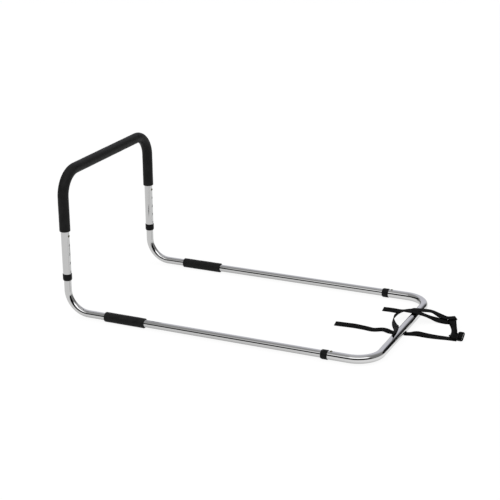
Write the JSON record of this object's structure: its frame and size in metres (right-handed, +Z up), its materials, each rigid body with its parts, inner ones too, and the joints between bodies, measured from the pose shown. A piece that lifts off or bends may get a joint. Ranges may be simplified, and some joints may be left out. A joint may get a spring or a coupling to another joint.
{
  "type": "bed assist rail",
  "caption": "Chromed tube bed assist rail with a foam-padded, height-adjustable U handle, under-mattress rails, a U end loop and a webbing anchor strap with a buckle.",
  "frame": {"origin": "on the floor under the middle of the whole object, handle in its lowest setting", "axes": "+X along the rails from the handle to the end loop, +Y from the near rail to the far rail, +Z up"},
  "size_m": [1.173, 0.553, 0.4627],
  "materials": {
    "chrome_tube": "polished chrome plate",
    "grip_foam": "smooth closed-cell foam",
    "sleeve_foam": "matte closed-cell foam",
    "black_plastic": "satin moulded",
    "plated_button": "yellow-plated",
    "spring_steel": "bare strip",
    "black_webbing": "woven webbing"
  },
  "bodies": {
    "leg_rails": {"leg_rail_near": "chrome_tube", "leg_rail_far": "chrome_tube", "rail_sleeve_near": "sleeve_foam", "rail_sleeve_far": "sleeve_foam", "leg_clip_near": "spring_steel", "leg_clip_far": "spring_steel", "base_clip_near": "spring_steel", "base_clip_far": "spring_steel"},
    "handle": {"handle_tube": "chrome_tube", "foam_grip": "grip_foam", "handle_collar_near": "black_plastic", "handle_collar_far": "black_plastic"},
    "loop": {"end_loop": "chrome_tube", "base_collar_near": "black_plastic", "base_collar_far": "black_plastic", "anchor_strap": "black_webbing", "bar_strap": "black_webbing", "strap_buckle": "black_plastic"},
    "leg_lock_near": {"leg_button_near": "plated_button"},
    "leg_lock_far": {"leg_button_far": "plated_button"},
    "base_lock_near": {"base_button_near": "plated_button"},
    "base_lock_far": {"base_button_far": "plated_button"}
  },
  "joints": [
    {"name": "handle_height", "type": "slide", "parent": "leg_rails", "child": "handle", "axis": [0, 0, 1], "range_m": [0, 0.1136], "deforming": ["leg_button_near", "leg_button_far"]},
    {"name": "end_loop_pull", "type": "slide", "parent": "leg_rails", "child": "loop", "axis": [1, 0, 0], "range_m": [0, 0.071], "deforming": ["base_button_near", "base_button_far"]},
    {"name": "leg_button_near_press", "type": "slide", "parent": "leg_rails", "child": "leg_lock_near", "axis": [-1, 0, 0], "range_m": [0, 0.0035], "stiffness_N_per_m": 1500, "deforming": ["leg_clip_near"]},
    {"name": "leg_button_far_press", "type": "slide", "parent": "leg_rails", "child": "leg_lock_far", "axis": [-1, 0, 0], "range_m": [0, 0.0035], "stiffness_N_per_m": 1500, "deforming": ["leg_clip_far"]},
    {"name": "base_button_near_press", "type": "slide", "parent": "leg_rails", "child": "base_lock_near", "axis": [0, 0, -1], "range_m": [0, 0.0035], "stiffness_N_per_m": 1500, "deforming": ["base_clip_near"]},
    {"name": "base_button_far_press", "type": "slide", "parent": "leg_rails", "child": "base_lock_far", "axis": [0, 0, -1], "range_m": [0, 0.0035], "stiffness_N_per_m": 1500, "deforming": ["base_clip_far"]}
  ]
}
